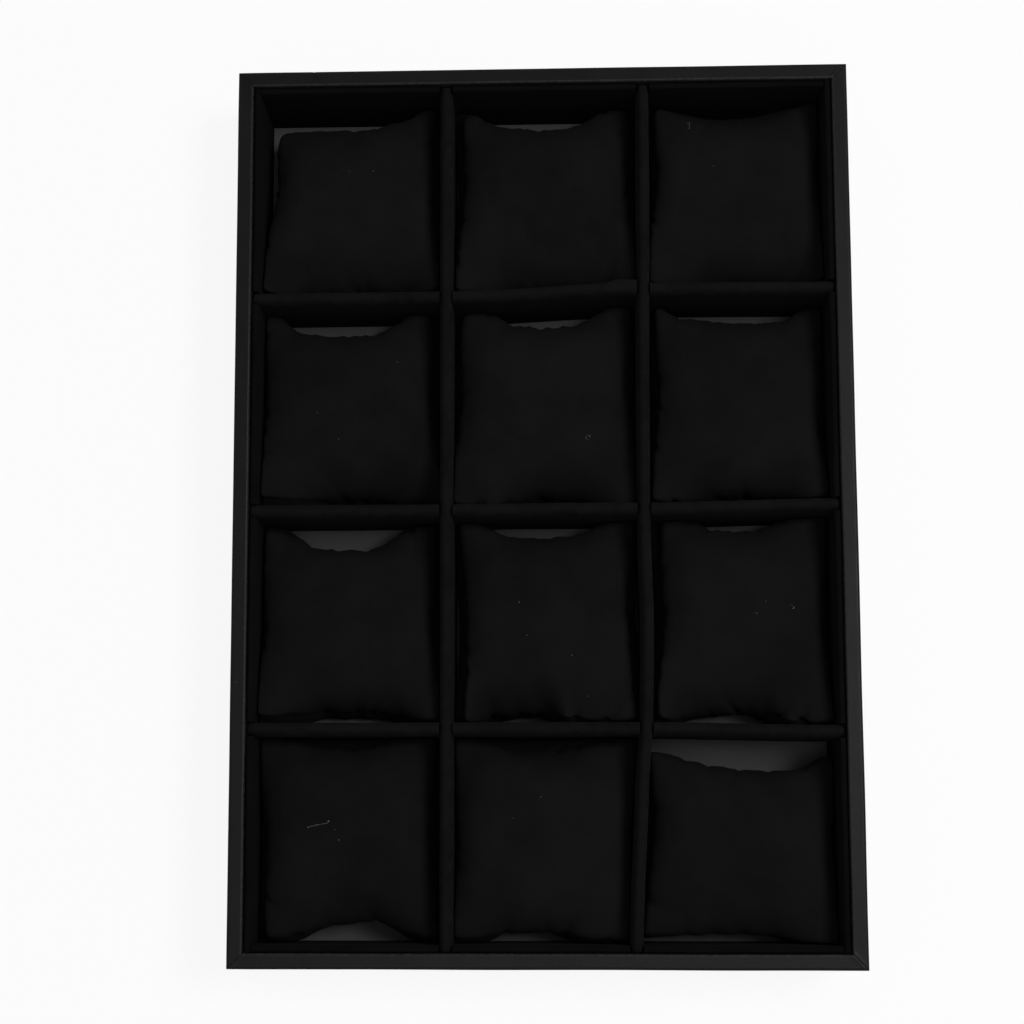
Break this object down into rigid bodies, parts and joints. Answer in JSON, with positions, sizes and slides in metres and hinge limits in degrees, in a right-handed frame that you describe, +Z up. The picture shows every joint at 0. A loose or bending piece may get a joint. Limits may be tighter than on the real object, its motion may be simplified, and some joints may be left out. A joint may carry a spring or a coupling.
{
  "type": "watch display tray",
  "caption": "Open rectangular display tray with a leatherette frame, velvet dividers in a grid and a soft velvet pillow in every compartment.",
  "frame": {"origin": "middle of the underside, on the surface that the tray stands on", "axes": "+X across the columns, +Y along the rows towards row 1, +Z up"},
  "size_m": [0.24, 0.35, 0.05],
  "materials": {
    "leatherette": "black grained leatherette, satin",
    "velvet": "black short-pile velvet",
    "floor_lining": "dark grey matt lining",
    "fibreboard": "raw fibreboard, hidden inside",
    "bottom_cover": "black matt backing sheet"
  },
  "bodies": {
    "root": {"bottom_cover": "bottom_cover", "base_board": "fibreboard", "floor_lining": "floor_lining", "wall_board_south": "fibreboard", "wall_board_east": "fibreboard", "wall_board_north": "fibreboard", "wall_board_west": "fibreboard", "wrap_south": "leatherette", "wrap_east": "leatherette", "wrap_north": "leatherette", "wrap_west": "leatherette", "liner_south": "velvet", "liner_east": "velvet", "liner_north": "velvet", "liner_west": "velvet", "long_divider_1": "velvet", "long_divider_2": "velvet", "cross_divider_1": "velvet", "cross_divider_2": "velvet", "cross_divider_3": "velvet", "pillow_r1_c1": "velvet", "pillow_r1_c2": "velvet", "pillow_r1_c3": "velvet", "pillow_r2_c1": "velvet", "pillow_r2_c2": "velvet", "pillow_r2_c3": "velvet", "pillow_r3_c1": "velvet", "pillow_r3_c2": "velvet", "pillow_r3_c3": "velvet", "pillow_r4_c1": "velvet", "pillow_r4_c2": "velvet", "pillow_r4_c3": "velvet"}
  },
  "joints": []
}
